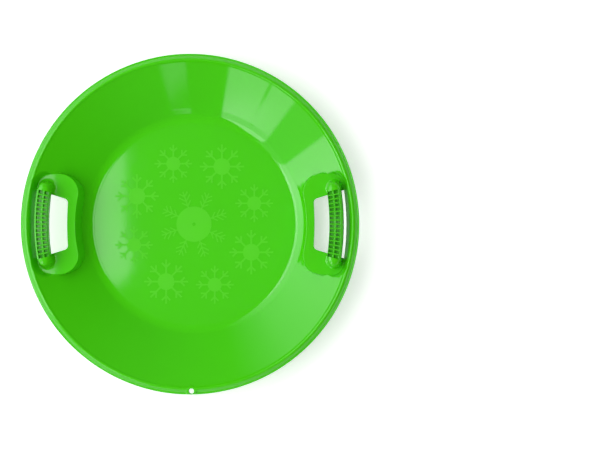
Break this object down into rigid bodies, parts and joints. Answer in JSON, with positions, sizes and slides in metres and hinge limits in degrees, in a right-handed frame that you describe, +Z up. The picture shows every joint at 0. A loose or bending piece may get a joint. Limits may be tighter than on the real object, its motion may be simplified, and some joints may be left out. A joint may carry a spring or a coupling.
{
  "type": "saucer sled",
  "caption": "Round plastic snow saucer with a flat floor, sloped wall, ridged rim, raised ribbed hand grips in let-in surrounds and a tow hole.",
  "frame": {"origin": "centre of the flat underside of the dish, on the ground plane", "axes": "+Z up out of the bowl, +X from the centre through the right grip, -Y towards the tow hole"},
  "size_m": [0.6, 0.6, 0.099],
  "materials": {
    "moulding": "smooth gloss",
    "grip": "smooth gloss, ribbed",
    "snowflake_relief": "etched matte"
  },
  "bodies": {
    "root": {"dish_floor": "moulding", "dish_wall": "moulding", "rim": "moulding", "tow_hole_boss": "moulding", "right_handle_surround": "moulding", "left_handle_surround": "moulding", "right_grip_bar": "grip", "left_grip_bar": "grip", "right_grip_ribs": "grip", "left_grip_ribs": "grip", "middle_snowflake": "snowflake_relief", "moulding_gate": "moulding", "small_snowflake_1": "snowflake_relief", "large_snowflake_1": "snowflake_relief", "small_snowflake_2": "snowflake_relief", "large_snowflake_2": "snowflake_relief", "small_snowflake_3": "snowflake_relief", "large_snowflake_3": "snowflake_relief", "small_snowflake_4": "snowflake_relief", "large_snowflake_4": "snowflake_relief"}
  },
  "joints": []
}
